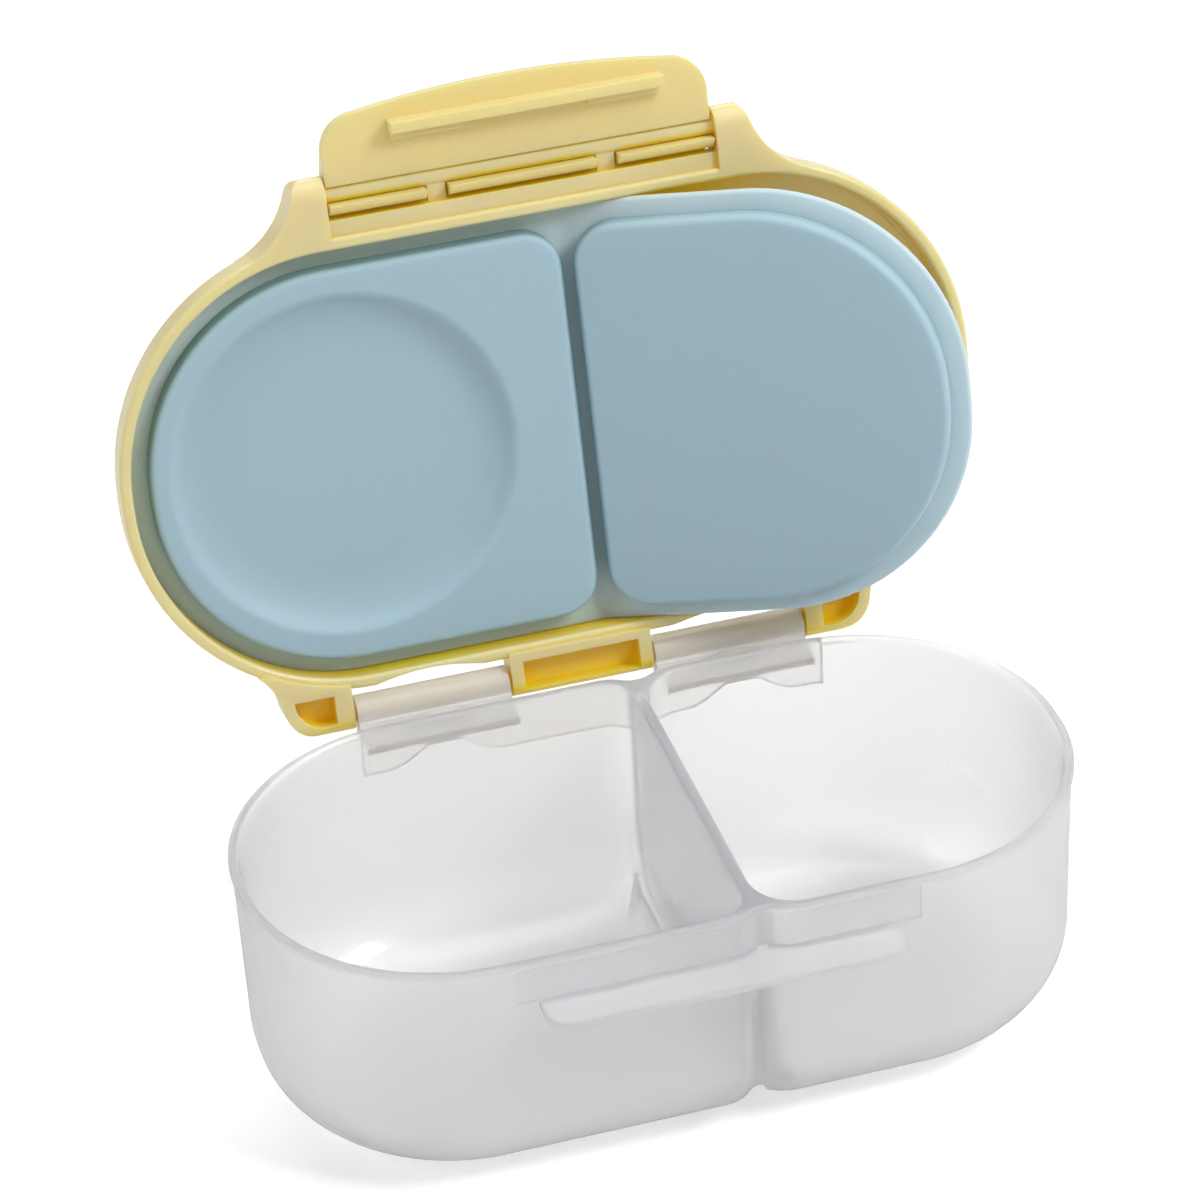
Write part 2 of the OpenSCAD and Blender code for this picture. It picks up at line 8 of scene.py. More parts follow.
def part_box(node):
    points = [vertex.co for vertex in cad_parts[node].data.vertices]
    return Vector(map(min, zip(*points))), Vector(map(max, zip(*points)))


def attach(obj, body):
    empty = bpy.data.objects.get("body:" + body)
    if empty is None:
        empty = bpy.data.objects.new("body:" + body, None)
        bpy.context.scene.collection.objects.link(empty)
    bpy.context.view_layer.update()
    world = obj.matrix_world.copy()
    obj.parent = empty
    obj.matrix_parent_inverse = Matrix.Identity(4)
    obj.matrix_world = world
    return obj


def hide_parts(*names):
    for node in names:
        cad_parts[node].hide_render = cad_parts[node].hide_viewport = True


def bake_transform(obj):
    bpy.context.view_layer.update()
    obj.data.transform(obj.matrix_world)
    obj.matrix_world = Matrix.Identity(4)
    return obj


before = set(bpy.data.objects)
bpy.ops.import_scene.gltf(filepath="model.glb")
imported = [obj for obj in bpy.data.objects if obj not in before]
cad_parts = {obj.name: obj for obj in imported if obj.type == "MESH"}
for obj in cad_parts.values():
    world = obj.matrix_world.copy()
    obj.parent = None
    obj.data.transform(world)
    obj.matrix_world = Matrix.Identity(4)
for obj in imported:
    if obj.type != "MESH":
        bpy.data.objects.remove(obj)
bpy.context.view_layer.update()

# Camera: a long lens a little over a metre away, left of the container and above it,
# rolled by three degrees. It looks down into the open tub and straight at the raised lid.
camera_azimuth = math.radians(-14.852)
camera_elevation = math.radians(33.308)
camera_roll = math.radians(-3.057)
camera_distance = 1.082
camera_aim = Vector((0.0040, 0.0337, 0.0754))
away = Vector((
    math.sin(camera_azimuth) * math.cos(camera_elevation),
    -math.cos(camera_azimuth) * math.cos(camera_elevation),
    math.sin(camera_elevation)))
level = Vector((0, 0, 1)).cross(away).normalized()
upright = away.cross(level)
side = level * math.cos(camera_roll) + upright * math.sin(camera_roll)
top = upright * math.cos(camera_roll) - level * math.sin(camera_roll)
camera_data = bpy.data.cameras.new("camera")
camera_data.lens = 150.8
camera_data.sensor_width = 36
camera = bpy.data.objects.new("camera", camera_data)
camera.matrix_world = Matrix((side, top, away)).transposed().to_4x4()
camera.matrix_world.translation = camera_aim + away * camera_distance
bpy.context.scene.collection.objects.link(camera)
bpy.context.scene.camera = camera

# Studio: a white sweep under and behind the container, white to the lens and through clear plastic,
# with four large soft lamps: one overhead, one at the front right, and weaker ones at the left and
# behind, where the sweep throws light back through the plastic.
bpy.context.scene.view_settings.view_transform = "Standard"
studio_light = 0.34


def seen_by_lens(tree):
    """A value that is 1 for what the lens sees, straight or through clear plastic, and else 0."""
    paths = tree.nodes.new("ShaderNodeLightPath")
    seen = tree.nodes.new("ShaderNodeMath")
    seen.operation = "MAXIMUM"
    tree.links.new(paths.outputs["Is Camera Ray"], seen.inputs[0])
    tree.links.new(paths.outputs["Is Transmission Ray"], seen.inputs[1])
    return seen.outputs[0]


world = bpy.data.worlds.new("studio")
world.use_nodes = True
bpy.context.scene.world = world
nodes = world.node_tree.nodes
links = world.node_tree.links
nodes.clear()
lit = nodes.new("ShaderNodeBackground")
lit.inputs["Color"].default_value = (0.97, 0.98, 1.0, 1)
lit.inputs["Strength"].default_value = studio_light
white = nodes.new("ShaderNodeBackground")
white.inputs["Color"].default_value = (1, 1, 1, 1)
choice = nodes.new("ShaderNodeMixShader")
links.new(seen_by_lens(world.node_tree), choice.inputs["Fac"])
links.new(lit.outputs[0], choice.inputs[1])
links.new(white.outputs[0], choice.inputs[2])
output = nodes.new("ShaderNodeOutputWorld")
links.new(choice.outputs[0], output.inputs["Surface"])


def softbox(name, place, aim, width, height, watts):
    """A large rectangular lamp that shines from its place to the point it aims at."""
    lamp = bpy.data.lights.new(name, "AREA")
    lamp.shape = "RECTANGLE"
    lamp.size = width
    lamp.size_y = height
    lamp.energy = watts
    stand = bpy.data.objects.new(name, lamp)
    stand.location = place
    stand.rotation_euler = (Vector(aim) - Vector(place)).to_track_quat("-Z", "Y").to_euler()
    bpy.context.scene.collection.objects.link(stand)
    return stand


softbox("overhead_softbox", (0.1, 0.15, 1.25), (0, 0, 0.05), 1.1, 0.8, 4.8)
softbox("front_right_softbox", (0.85, -0.6, 1.15), (0, 0, 0.08), 0.5, 0.5, 10.8)
softbox("left_softbox", (-1.05, -0.25, 0.65), (0, 0, 0.08), 0.35, 0.9, 2.0)
softbox("back_softbox", (0.1, 1.2, 0.75), (0, 0, 0.08), 1.2, 0.7, 5.0)

# Pale floor, lifted towards white where the lamps no longer reach it
floor_mesh = bpy.data.meshes.new("floor")
floor_half = 2.5
lit_radius = 0.5
dim_radius = 1.8
lit_glow = 0.32
dim_glow = 0.66
floor_mesh.from_pydata(
    [(-floor_half, -floor_half, 0), (floor_half, -floor_half, 0),
     (floor_half, floor_half, 0), (-floor_half, floor_half, 0)], [], [(0, 1, 2, 3)])
floor = bpy.data.objects.new("floor", floor_mesh)
bpy.context.scene.collection.objects.link(floor)
floor_paint = bpy.data.materials.new("floor_paint")
floor_paint.use_nodes = True
nodes = floor_paint.node_tree.nodes
links = floor_paint.node_tree.links
paint = nodes["Principled BSDF"]
paint.inputs["Base Color"].default_value = (0.9, 0.9, 0.9, 1)
paint.inputs["Roughness"].default_value = 0.9
paint.inputs["Specular IOR Level"].default_value = 0.0
glow = nodes.new("ShaderNodeMath")
glow.operation = "MULTIPLY"
links.new(seen_by_lens(floor_paint.node_tree), glow.inputs[0])
place = nodes.new("ShaderNodeTexCoord")
far = nodes.new("ShaderNodeVectorMath")
far.operation = "LENGTH"
links.new(place.outputs["Object"], far.inputs[0])
lift = nodes.new("ShaderNodeMapRange")
lift.inputs["From Min"].default_value = lit_radius
lift.inputs["From Max"].default_value = dim_radius
lift.inputs["To Min"].default_value = lit_glow
lift.inputs["To Max"].default_value = dim_glow
links.new(far.outputs["Value"], lift.inputs["Value"])
links.new(lift.outputs["Result"], glow.inputs[1])
paint.inputs["Emission Color"].default_value = (1, 1, 1, 1)
links.new(glow.outputs[0], paint.inputs["Emission Strength"])
floor_mesh.materials.append(floor_paint)

# Tub: one clear polypropylene moulding with two compartments. Its outside is frosted, its
# inside polished. The catch shelf, the hinge band and both hinge hooks are moulded with it.
MM = 0.001
cad_tub_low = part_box("tub")[0]
half_length = 90.0
half_width = 46.0
hinge_out = 10.0
hook_radius = 3.68
shelf_out = 8.6
tub_middle_y = cad_tub_low.y / MM + half_width + shelf_out
height = 58.0
wall = 1.5
rim_over = 0.6
lean = 1.0
base_radius = 18.0
end_radius = 44.5
end_x = half_length - end_radius
end_y = 1.5
divider_x = 8.3
divider = 2.6
left_corner = 6.5
right_corner = 10.0
valley_radius = 6.0


def arc(centre, radius, start, stop, steps):
    """Points along an arc in the plane, from one angle in degrees to another."""
    return [(centre[0] + radius * math.cos(math.radians(start + (stop - start) * i / steps)),
             centre[1] + radius * math.sin(math.radians(start + (stop - start) * i / steps)))
            for i in range(steps + 1)]


def line(first, second, pieces):
    """Points that divide a straight stretch, without its ends."""
    return [(first[0] + (second[0] - first[0]) * i / pieces,
             first[1] + (second[1] - first[1]) * i / pieces) for i in range(1, pieces)]


def mesh_object(name, vertices, faces):
    """An object with this mesh, given in millimetres."""
    mesh = bpy.data.meshes.new(name)
    mesh.from_pydata([Vector(v) * MM for v in vertices], [], faces)
    mesh.update()
    piece = bpy.data.objects.new(name, mesh)
    bpy.context.scene.collection.objects.link(piece)
    return piece


def lofted(name, rings):
    """A closed solid through rings of equally many points, flat at its first and last ring."""
    count = len(rings[0])
    vertices = [point for ring in rings for point in ring]
    faces = [tuple(reversed(range(count)))]
    for level in range(len(rings) - 1):
        for i in range(count):
            j = (i + 1) % count
            a = level * count
            faces.append((a + i, a + j, a + count + j, a + count + i))
    faces.append(tuple(range((len(rings) - 1) * count, len(rings) * count)))
    return mesh_object(name, vertices, faces)


def combine(piece, other, operation):
    """Adds a closed solid to a piece or cuts it away, and removes the other object."""
    modifier = piece.modifiers.new("combine", "BOOLEAN")
    modifier.operation = operation
    modifier.solver = "EXACT"
    modifier.object = other
    graph = bpy.context.evaluated_depsgraph_get()
    mesh = bpy.data.meshes.new_from_object(piece.evaluated_get(graph))
    piece.modifiers.clear()
    piece.data = mesh
    bpy.data.objects.remove(other)


def smooth(piece, sharp_angle):
    """Smooth shading that keeps the edges which are sharper than the given angle."""
    piece.data.shade_smooth()
    piece.data.set_sharp_from_angle(angle=math.radians(sharp_angle))


def at_height(outline, z, middle_y):
    """An outline set at a height, with the tub's middle at the given place."""
    return [(x, y + middle_y, z) for x, y in outline]


def base_inset(z, floor_z, radius):
    """How far the rounded bottom edge draws a wall in at a height."""
    if z - floor_z >= radius:
        return 0.0
    return radius - math.sqrt(radius ** 2 - (radius - (z - floor_z)) ** 2)


def valley_depth(x):
    """How far the wall dips in between the two compartments, from their rounded corners."""
    left = left_corner + wall + rim_over
    right = right_corner + wall + rim_over
    left_x = divider_x + divider / 2 + rim_over - left
    right_x = divider_x - divider / 2 - rim_over + right
    apart = math.dist((left_x, left), (right_x, right))
    to_left = left + valley_radius
    along = (to_left ** 2 - (right + valley_radius) ** 2 + apart ** 2) / (2 * apart)
    across = math.sqrt(to_left ** 2 - along ** 2)
    dip_x = left_x + ((right_x - left_x) * along + (right - left) * across) / apart
    dip_depth = left + ((right - left) * along - (right_x - left_x) * across) / apart
    first = left_x + (dip_x - left_x) * left / to_left
    last = right_x + (dip_x - right_x) * right / (right + valley_radius)
    if x <= left_x or x >= right_x:
        return 0.0
    if x < first:
        return left - math.sqrt(left ** 2 - (x - left_x) ** 2)
    if x > last:
        return right - math.sqrt(right ** 2 - (x - right_x) ** 2)
    return dip_depth + math.sqrt(valley_radius ** 2 - (x - dip_x) ** 2)


def body_outline(inset):
    """Outline round both compartments, with a dip front and back where they meet."""
    stations = [38, 30, 24] + [20 - 0.55 * i for i in range(41)] + [-10, -19, -28, -37]
    back = arc((end_x, end_y), end_radius - inset, 0, 90, 26)
    back += [(x, half_width - inset - valley_depth(x)) for x in stations]
    back += arc((-end_x, end_y), end_radius - inset, 90, 180, 26)
    return back + [(x, -y) for x, y in reversed(back)]


def compartment_outline(face, end, inset, face_inset, corner):
    """Outline of one compartment from the divider's face to its round end."""
    sign = 1 if end > face else -1
    centre_x = sign * end_x
    corner_x = face + sign * (corner + face_inset)
    corner_y = half_width - inset - corner
    radius = end_radius - inset
    upper = arc((centre_x, end_y), radius, 0, 90, 26)
    if sign < 0:
        upper = [(2 * centre_x - x, y) for x, y in upper]
    turn = arc((corner_x, corner_y), corner, 90, 180, 10)
    if sign < 0:
        turn = [(2 * corner_x - x, y) for x, y in turn]
    half = upper + line(upper[-1], turn[0], 6) + turn
    across = line(half[-1], (half[-1][0], -half[-1][1]), 8)
    ring = half + across + [(x, -y) for x, y in reversed(half)]
    if sign < 0:
        ring.reverse()
    return ring


# Outside: from the flat bottom up the rounded edge, the leaning wall and the rim bead, each
# level given as its height and how far it lies inside the bead
bead_profile = [(56.1, 0.55), (56.45, 0.3), (56.7, 0.06), (57.0, 0.0), (57.4, 0.03), (57.7, 0.16),
                (57.9, 0.36), (58.0, 0.65)]
outside = [(z, base_inset(z, 0, base_radius) + lean * (height - z) / height + rim_over)
           for z in [base_radius * (1 - math.cos(math.radians(a))) for a in range(0, 91, 6)]]
outside += [(z, lean * (height - z) / height + rim_over) for z in (26, 34, 42, 50, 55.6)]
outside += bead_profile
tub = lofted("tub_shell", [at_height(body_outline(inset), z, tub_middle_y) for z, inset in outside])

# Arched tunnel under the divider, where the two compartments part
arch_reach = 11.7
arch_side = 10.0
arch_top = 9.4
arch_radius = 2.0
cut_reach = 60
cut_below = -3.0
turn = math.degrees(math.atan2(arch_side - arch_top + arch_radius, -arch_reach))
tunnel = arc((divider_x - arch_reach, arch_side), arch_side, -90, turn - 180, 14)
tunnel += arc((divider_x, arch_top - arch_radius), arch_radius, turn, 180 - turn, 8)[1:-1]
tunnel += [(2 * divider_x - x, z) for x, z in reversed(tunnel[:15])]
tunnel = [(tunnel[0][0], cut_below)] + tunnel + [(tunnel[-1][0], cut_below)]
tunnel_rings = [[(x, y + tub_middle_y, z) for x, z in tunnel] for y in (-cut_reach, cut_reach)]
combine(tub, lofted("tunnel", tunnel_rings), "DIFFERENCE")


def plate(name, outline, z0, z1, edge, steps=4):
    """A flat plate with its outline given at its widest, and rounded upper and lower edges."""
    rings = []
    for i in range(steps + 1):
        a = math.radians(90 * i / steps)
        rings.append((z0 + edge * (1 - math.cos(a)), edge * (1 - math.sin(a))))
    rings += [(z0 + z1 - z, inset) for z, inset in reversed(rings)]
    return lofted(name, [[(x, y, z) for x, y in outline(inset)] for z, inset in rings])


# Catch shelf across the front, and the shallow panel above it that the latch lies against
shelf_half = 38.4
shelf_top = 47.8
shelf_thick = 2.2
shelf_corner = 5.0
shelf_edge = 0.9


def shelf_outline(inset):
    """Outline of the shelf seen from above."""
    front = tub_middle_y - half_width - shelf_out
    left = arc((-shelf_half + shelf_corner, front + shelf_corner), shelf_corner - inset, 180, 270, 8)
    right = arc((shelf_half - shelf_corner, front + shelf_corner), shelf_corner - inset, 270, 360, 8)
    inside = tub_middle_y - half_width + 3
    return [(-shelf_half + inset, inside)] + left + right + [(shelf_half - inset, inside)]


combine(tub, plate("shelf", shelf_outline, shelf_top - shelf_thick, shelf_top, shelf_edge), "UNION")

panel_half = 43.0
panel_depth = 0.6
panel_top = 56.4
panel_front = tub_middle_y - half_width - 2
panel_back = tub_middle_y - half_width + rim_over + panel_depth
panel = [(-panel_half, panel_front), (panel_half, panel_front), (panel_half, panel_back),
         (-panel_half, panel_back)]
panel_rings = [[(x, y, z) for x, y in panel] for z in (shelf_top, panel_top)]
combine(tub, lofted("panel", panel_rings), "DIFFERENCE")

# Hinge band along the back wall with its wavy lower edge, and the hooks on their thin webs
hinge_y = half_width + hinge_out
hinge_z = 55.5
bore_radius = 2.08
hook_start = 16.5
hook_end = 50.6
hook_middle = (hook_start + hook_end) / 2
arch_half = 12.5
band_half = 52.0
band_low = 46.4
band_high = 57.2
band_rise = 5.6
band_out = 0.8
web_top = 52.5
web_thick = 1.6
rib_front = 49.2
rib_back = 51.3
rib_rise = 3.4


def arch(x):
    """Height of the smooth arch over each hook, from 0 at its feet to 1."""
    reach = (abs(x) - hook_middle) / arch_half
    return (1 + math.cos(math.pi * reach)) / 2 if abs(reach) < 1 else 0.0


def prism(name, section, start, stop, along):
    """A straight solid with this section: across Y and Z along X, or across X and Z along Y."""
    if along == "X":
        rings = [[(x, y + tub_middle_y, z) for y, z in section] for x in (start, stop)]
    else:
        rings = [[(x, y + tub_middle_y, z) for x, z in section] for y in (start, stop)]
    solid = lofted(name, rings)
    shape = bmesh.new()
    shape.from_mesh(solid.data)
    bmesh.ops.recalc_face_normals(shape, faces=shape.faces)
    shape.to_mesh(solid.data)
    shape.free()
    return solid


wave = [(-band_half + 2 * band_half * i / 120) for i in range(121)]
band_face = [(x, band_low + band_rise * arch(x)) for x in wave]
band_face += [(band_half, band_high), (-band_half, band_high)]
band = prism("band", band_face, 20, cut_reach, "Y")
skin = lofted("band_skin", [at_height(body_outline(-band_out), z, tub_middle_y) for z in (40, 57.6)])
combine(band, skin, "INTERSECT")
combine(tub, band, "UNION")

# Hook: a ring round the lid's rod with its mouth turned down and back, on a web from the wall
mouth_turn = -60
outer_mouth = 22.4
inner_mouth = 42.3
hook = arc((hinge_y, hinge_z), hook_radius, mouth_turn + outer_mouth, mouth_turn + 360 - outer_mouth, 36)
hook += arc((hinge_y, hinge_z), bore_radius, mouth_turn + 360 - inner_mouth, mouth_turn + inner_mouth, 28)
web = [(44.5, web_top - web_thick), (hinge_y - 0.8, web_top - web_thick), (hinge_y - 0.8, 53.1),
       (52.7, 55.2), (51.9, 54.6), (51.5, 52.9), (51.0, web_top), (44.5, web_top)]
for sign in (-1, 1):
    combine(tub, prism("web", web, sign * hook_start, sign * hook_end, "X"), "UNION")
    combine(tub, prism("hook", hook, sign * (hook_start - 0.01), sign * (hook_end + 0.01), "X"), "UNION")
    rib = [(sign * hook_middle - arch_half + 2 * arch_half * i / 24) for i in range(25)]
    rib = [(x, web_top - 0.4 + rib_rise * arch(x)) for x in rib]
    rib += [(sign * hook_middle + arch_half, web_top - 1), (sign * hook_middle - arch_half, web_top - 1)]
    combine(tub, prism("rib", rib, rib_front, rib_back, "Y"), "UNION")

# Hollows of the two compartments, with a softly rounded inner edge at the rim
divider_left = divider_x - divider / 2
divider_right = divider_x + divider / 2
inner_base = base_radius - wall
inner_divider_base = 13.5
levels = [wall + inner_base * (1 - math.cos(math.radians(a))) for a in range(0, 91, 6)]
levels += [26, 34, 42, 50, 57.2]
flare = [(57.5, 0.04), (57.75, 0.16), (57.93, 0.36), (58.0, 0.62), (59.5, 0.62)]
for face, end, corner in ((divider_left, -half_length, left_corner),
                          (divider_right, half_length, right_corner)):
    rings = []
    for z in levels:
        inset = base_inset(z, wall, inner_base) + lean * (height - z) / height + rim_over + wall
        face_inset = base_inset(z, wall, inner_divider_base)
        soft = corner + 0.5 * min(face_inset, inset - rim_over - wall)
        rings.append(at_height(compartment_outline(face, end, inset, face_inset, soft), z, tub_middle_y))
    for z, wide in flare:
        rings.append(at_height(compartment_outline(
            face, end, rim_over + wall - wide, -wide * 0.9, corner), z, tub_middle_y))
    combine(tub, lofted("hollow", rings), "DIFFERENCE")

smooth(tub, 32)


def wall_depth(x, y, z):
    """How deep a point lies under the outside of the tub's walls and rounded base."""
    if abs(x) < end_x:
        across = half_width - abs(y) - valley_depth(x)
    else:
        across = end_radius - math.hypot(abs(x) - end_x, max(abs(y) - end_y, 0))
    across -= rim_over + lean * (height - z) / height
    if z < base_radius and across < base_radius:
        return base_radius - math.hypot(base_radius - z, base_radius - across)
    return min(z, across)


def group_sockets(name, inputs, outputs):
    """An empty shader node group with number inputs, given by name and value, and outputs."""
    group = bpy.data.node_groups.new(name, "ShaderNodeTree")
    for label, value in inputs:
        kind = "NodeSocketColor" if isinstance(value, tuple) else "NodeSocketFloat"
        group.interface.new_socket(label, in_out="INPUT", socket_type=kind).default_value = value
    for label, kind in outputs:
        group.interface.new_socket(label, in_out="OUTPUT", socket_type=kind)
    return group, group.nodes.new("NodeGroupInput"), group.nodes.new("NodeGroupOutput")


# Moulded skin: the faint grain of the mould, patches of more and less gloss, and soft edges
moulded_skin, given, result = group_sockets(
    "moulded_skin",
    [("Grain Size", 0.0006), ("Grain Depth", 0.00001), ("Dull", 0.3), ("Glossy", 0.2),
     ("Edge Radius", 0.0004)],
    [("Roughness", "NodeSocketFloat"), ("Normal", "NodeSocketVector")])
nodes = moulded_skin.nodes
links = moulded_skin.links
place = nodes.new("ShaderNodeTexCoord")
fineness = nodes.new("ShaderNodeMath")
fineness.operation = "DIVIDE"
fineness.inputs[0].default_value = 1.0
links.new(given.outputs["Grain Size"], fineness.inputs[1])
grain = nodes.new("ShaderNodeTexNoise")
grain.inputs["Detail"].default_value = 3.0
links.new(place.outputs["Object"], grain.inputs["Vector"])
links.new(fineness.outputs[0], grain.inputs["Scale"])
edges = nodes.new("ShaderNodeBevel")
edges.samples = 6
links.new(given.outputs["Edge Radius"], edges.inputs["Radius"])
bump = nodes.new("ShaderNodeBump")
bump.inputs["Strength"].default_value = 1.0
links.new(given.outputs["Grain Depth"], bump.inputs["Distance"])
links.new(grain.outputs["Fac"], bump.inputs["Height"])
links.new(edges.outputs["Normal"], bump.inputs["Normal"])
links.new(bump.outputs["Normal"], result.inputs["Normal"])
patches = nodes.new("ShaderNodeTexNoise")
patches.inputs["Scale"].default_value = 28.0
patches.inputs["Detail"].default_value = 1.5
links.new(place.outputs["Object"], patches.inputs["Vector"])
gloss = nodes.new("ShaderNodeMapRange")
gloss.inputs["From Min"].default_value = 0.15
gloss.inputs["From Max"].default_value = 0.85
links.new(patches.outputs["Fac"], gloss.inputs["Value"])
links.new(given.outputs["Dull"], gloss.inputs["To Min"])
links.new(given.outputs["Glossy"], gloss.inputs["To Max"])
links.new(gloss.outputs["Result"], result.inputs["Roughness"])


def skinned(name, grain_size, grain_depth, dull, glossy, edge_radius=0.0004):
    """A new material whose roughness and normals come from the moulded skin."""
    made = bpy.data.materials.new(name)
    made.use_nodes = True
    tree = made.node_tree
    shader = tree.nodes["Principled BSDF"]
    skin = tree.nodes.new("ShaderNodeGroup")
    skin.node_tree = moulded_skin
    skin.inputs["Grain Size"].default_value = grain_size
    skin.inputs["Grain Depth"].default_value = grain_depth
    skin.inputs["Dull"].default_value = dull
    skin.inputs["Glossy"].default_value = glossy
    skin.inputs["Edge Radius"].default_value = edge_radius
    tree.links.new(skin.outputs["Roughness"], shader.inputs["Roughness"])
    tree.links.new(skin.outputs["Normal"], shader.inputs["Normal"])
    return made


def polypropylene(name, grain_depth, dull, glossy, coat, transmission, color=(0.955, 0.952, 0.965)):
    """Clear plastic with a slightly milky body."""
    plastic = skinned(name, 0.0005, grain_depth, dull, glossy, 0.0003)
    shader = plastic.node_tree.nodes["Principled BSDF"]
    shader.inputs["Base Color"].default_value = (*color, 1)
    shader.inputs["IOR"].default_value = 1.49
    shader.inputs["Transmission Weight"].default_value = transmission
    shader.inputs["Coat Weight"].default_value = coat
    shader.inputs["Coat Roughness"].default_value = 0.08
    return plastic


# The hinge is milky, the faces of the hollows are polished, and all other faces are frosted
tub.data.materials.clear()
# The frosted outside is a little whiter than the inside: painted light that brightens the front wall
tub.data.materials.append(polypropylene(
    "frosted_outside", 0.000012, 0.46, 0.38, 0.1, 0.75, (0.985, 0.982, 0.992)))
tub.data.materials.append(polypropylene("polished_inside", 0.000002, 0.34, 0.26, 0.5, 0.78))
# The milky hinge's cream tint is painted: it stands for the yellow lid rods seen through the clear hooks
tub.data.materials.append(polypropylene(
    "milky_hinge", 0.000001, 0.34, 0.26, 0.4, 0.55, (1.0, 0.985, 0.955)))
bead_low = 56.5
for face in tub.data.polygons:
    x, y, z = face.center / MM
    y -= tub_middle_y
    depth = wall_depth(x, y, z)
    on_hinge = y > 0 and z > band_low - 1 and depth < -band_out / 2 and (z < bead_low or depth < -2)
    on_inside = depth > wall / 2 and face.normal.z > -0.3
    face.material_index = 2 if on_hinge else 1 if on_inside else 0
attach(tub, "tub")
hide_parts("tub")

# Lid: one moulding in pale yellow polypropylene, with a skirt, ears and a block for the hinge rods
# at the back, and shoulders for the latch rod. Its hollows get a painted golden shade, found by
# ambient occlusion, which stands for light that has crossed the plastic several times.
painted_hollow_shade, given, result = group_sockets(
    "painted_hollow_shade",
    [("Open Color", (1.0, 1.0, 1.0, 1.0)), ("Painted Hollow Color", (0.5, 0.5, 0.5, 1.0)),
     ("Reach", 0.01), ("Hollow Below", 0.4), ("Open Above", 0.9)],
    [("Color", "NodeSocketColor")])
nodes = painted_hollow_shade.nodes
links = painted_hollow_shade.links
# Painted shade: ambient occlusion marks the hollows, and the colour there turns to the painted hollow
# colour
openness = nodes.new("ShaderNodeAmbientOcclusion")
openness.samples = 12
links.new(given.outputs["Reach"], openness.inputs["Distance"])
share = nodes.new("ShaderNodeMapRange")
share.interpolation_type = "SMOOTHSTEP"
links.new(openness.outputs["AO"], share.inputs["Value"])
links.new(given.outputs["Hollow Below"], share.inputs["From Min"])
links.new(given.outputs["Open Above"], share.inputs["From Max"])
painted_shade = nodes.new("ShaderNodeMix")
painted_shade.data_type = "RGBA"
links.new(share.outputs["Result"], painted_shade.inputs["Factor"])
links.new(given.outputs["Painted Hollow Color"], painted_shade.inputs[6])
links.new(given.outputs["Open Color"], painted_shade.inputs[7])
links.new(painted_shade.outputs[2], result.inputs["Color"])


def with_painted_hollow_shade(made, open_color, painted_hollow_color, reach, hollow_below, open_above):
    """Paints shade into a material's colour: it deepens in the hollows that ambient occlusion finds."""
    tree = made.node_tree
    painted_shade = tree.nodes.new("ShaderNodeGroup")
    painted_shade.node_tree = painted_hollow_shade
    painted_shade.inputs["Open Color"].default_value = (*open_color, 1)
    painted_shade.inputs["Painted Hollow Color"].default_value = (*painted_hollow_color, 1)
    painted_shade.inputs["Reach"].default_value = reach
    painted_shade.inputs["Hollow Below"].default_value = hollow_below
    painted_shade.inputs["Open Above"].default_value = open_above
    tree.links.new(painted_shade.outputs["Color"], tree.nodes["Principled BSDF"].inputs["Base Color"])
    return made


def yellow_plastic(name, dull, glossy, coat, coat_roughness, milkiness, light_depth):
    """Moulded polypropylene that light enters a little way."""
    plastic = skinned(name, 0.0008, 0.000004, dull, glossy)
    shader = plastic.node_tree.nodes["Principled BSDF"]
    shader.inputs["IOR"].default_value = 1.49
    shader.inputs["Coat Weight"].default_value = coat
    shader.inputs["Coat Roughness"].default_value = coat_roughness
    shader.inputs["Subsurface Weight"].default_value = milkiness
    shader.inputs["Subsurface Radius"].default_value = (1.0, 0.8, 0.25)
    shader.inputs["Subsurface Scale"].default_value = light_depth
    return plastic


lid_plastic = yellow_plastic("pale_yellow_plastic", 0.33, 0.27, 0.25, 0.15, 0.7, 0.0045)
# Painted golden shade in the lid's hollows, for light that has crossed the plastic several times
with_painted_hollow_shade(lid_plastic, (0.83, 0.71, 0.365), (0.97, 0.68, 0.006), 0.02, 0.25, 0.68)
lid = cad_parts["lid"]
lid.data.materials.clear()
lid.data.materials.append(lid_plastic)

# Latch: a flap in a slightly deeper yellow that turns on the lid's front rod, snapped on by three
# hooks. The bar across its inner face catches under the tub's shelf.
latch_plastic = yellow_plastic("butter_yellow_plastic", 0.35, 0.29, 0.2, 0.18, 0.6, 0.005)
# Painted shade in the latch's hollows
with_painted_hollow_shade(latch_plastic, (0.85, 0.71, 0.33), (0.84, 0.60, 0.06), 0.008, 0.0, 0.55)
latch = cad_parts["latch"]
latch.data.materials.clear()
latch.data.materials.append(latch_plastic)

# Seal: one piece of soft silicone rubber, held under the lid by its flange. Two pads plug the
# compartments, the larger one with a round dish. The small end has come out of the lid and
# hangs, bent along the groove between the pads.
flange_low = 58.3
flange_high = 60.3
flange_over = 1.6
flange_edge = 0.8
pad_face = 53.6
pad_root = flange_low + 0.7
pad_edge = 1.5
pad_left = -87.4
pad_right = 87.4
pad_half = 43.4
groove_left = 6.5
groove_right = 10.1
hang_angle = 23.5
bend_x = 8.3
bend_start = 4.5
bend_stop = 12.1
lid_angle = -103
hinge_point = Vector((0, hinge_y, hinge_z))
lid_turn = Matrix.Rotation(math.radians(lid_angle), 4, "X")
end_turn = Matrix.Rotation(math.radians(hang_angle), 4, "Y")
bend_point = Vector((bend_x, 0, flange_low))


def in_open_lid(point):
    """Where a point of the shut lid is when the lid stands open, in millimetres."""
    place = lid_turn @ (Vector(point) - hinge_point) + hinge_point
    place.y += tub_middle_y
    return place


